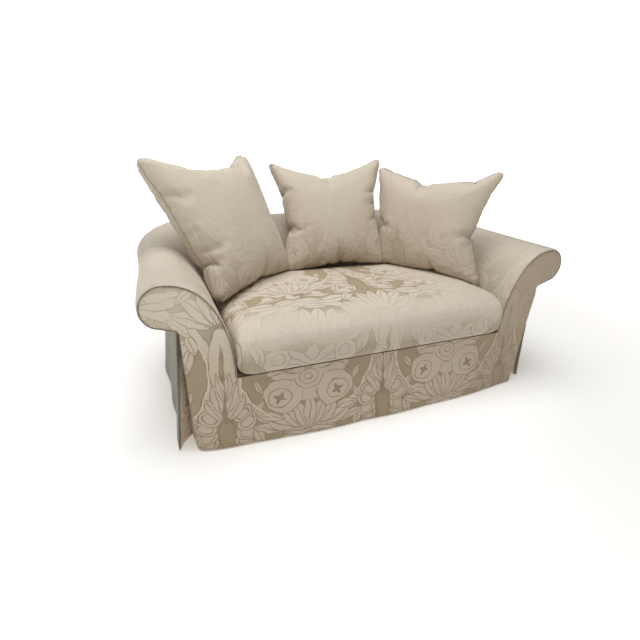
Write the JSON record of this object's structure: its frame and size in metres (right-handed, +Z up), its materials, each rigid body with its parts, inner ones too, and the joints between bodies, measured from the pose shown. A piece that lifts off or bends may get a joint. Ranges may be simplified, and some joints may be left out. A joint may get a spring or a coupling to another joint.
{
  "type": "rolled arm loveseat",
  "caption": "Skirted rolled-arm loveseat with a low rolled back, a loose bench seat cushion and loose scatter pillows along the back.",
  "frame": {"origin": "middle of the footprint, on the floor under the glides", "axes": "+X across the width towards the arm on the right as seen from the front, +Y from the front to the back, +Z up"},
  "size_m": [1.795, 0.9792, 0.9876],
  "materials": {
    "body_fabric": "woven damask, cream figure on a tan satin ground, slight sheen",
    "cushion_fabric": "woven damask, cream figure on a tan satin ground, satin sheen on the crown",
    "pillow_fabric": "woven damask, close-toned figure, soft sheen",
    "deck_cloth": "plain weave, matt",
    "zip_tape": "woven tape, matt",
    "zip_brass": "satin",
    "dust_cloth": "non-woven, matt",
    "foam": "open-cell foam, matt",
    "wadding": "fibre wadding, matt",
    "jute": "coarse woven jute, matt",
    "steel": "bright wire, satin",
    "nylon": "matt",
    "plywood": "raw, matt",
    "hardwood": "raw planed, matt"
  },
  "bodies": {
    "root": {"front_seat_rail": "hardwood", "rear_seat_rail": "hardwood", "left_side_rail": "hardwood", "right_side_rail": "hardwood", "centre_seat_rail": "hardwood", "corner_blocks": "hardwood", "corner_block_screws": "steel", "legs": "hardwood", "leg_bolts": "steel", "glides": "nylon", "left_front_post": "hardwood", "right_front_post": "hardwood", "left_rear_post": "hardwood", "right_rear_post": "hardwood", "left_scroll_board": "plywood", "right_scroll_board": "plywood", "left_arm_rail": "hardwood", "right_arm_rail": "hardwood", "arm_tack_rails": "hardwood", "top_back_rail": "hardwood", "back_tack_rail": "hardwood", "back_uprights": "hardwood", "frame_dowels": "plywood", "seat_springs": "steel", "spring_clips": "steel", "spring_tie_wires": "steel", "seat_burlap": "jute", "deck_pad": "wadding", "deck_cover": "deck_cloth", "front_edge_roll": "foam", "arm_webbing": "jute", "back_webbing": "jute", "left_arm_padding": "wadding", "right_arm_padding": "wadding", "back_padding": "wadding", "left_arm_cover": "body_fabric", "right_arm_cover": "body_fabric", "back_cover": "body_fabric", "front_panel": "body_fabric", "left_side_panel": "body_fabric", "right_side_panel": "body_fabric", "rear_panel": "body_fabric", "front_left_pleat": "body_fabric", "front_right_pleat": "body_fabric", "rear_left_pleat": "body_fabric", "rear_right_pleat": "body_fabric", "left_scroll_welt": "body_fabric", "right_scroll_welt": "body_fabric", "dust_cover": "dust_cloth"},
    "seat_cushion": {"seat_cushion_cover": "cushion_fabric", "seat_cushion_wrap": "wadding", "seat_cushion_core": "foam", "seat_cushion_zip": "zip_tape"},
    "zip_slider": {"zip_slider": "zip_brass"},
    "left_pillow": {"left_pillow_cover": "pillow_fabric", "left_pillow_insert": "wadding"},
    "middle_pillow": {"middle_pillow_cover": "pillow_fabric", "middle_pillow_insert": "wadding"},
    "right_pillow": {"right_pillow_cover": "pillow_fabric", "right_pillow_insert": "wadding"}
  },
  "joints": [
    {"name": "seat_cushion_lift", "type": "slide", "parent": "root", "child": "seat_cushion", "axis": [0, 0, 1], "range_m": [0, 0.3]},
    {"name": "zip_slider_travel", "type": "slide", "parent": "seat_cushion", "child": "zip_slider", "axis": [-1, 0, 0], "range_m": [0, 0.98]},
    {"name": "left_pillow_lift", "type": "slide", "parent": "seat_cushion", "child": "left_pillow", "axis": [0, 0, 1], "range_m": [0, 0.35]},
    {"name": "middle_pillow_lift", "type": "slide", "parent": "seat_cushion", "child": "middle_pillow", "axis": [0, 0, 1], "range_m": [0, 0.35]},
    {"name": "right_pillow_lift", "type": "slide", "parent": "seat_cushion", "child": "right_pillow", "axis": [0, 0, 1], "range_m": [0, 0.35]}
  ]
}
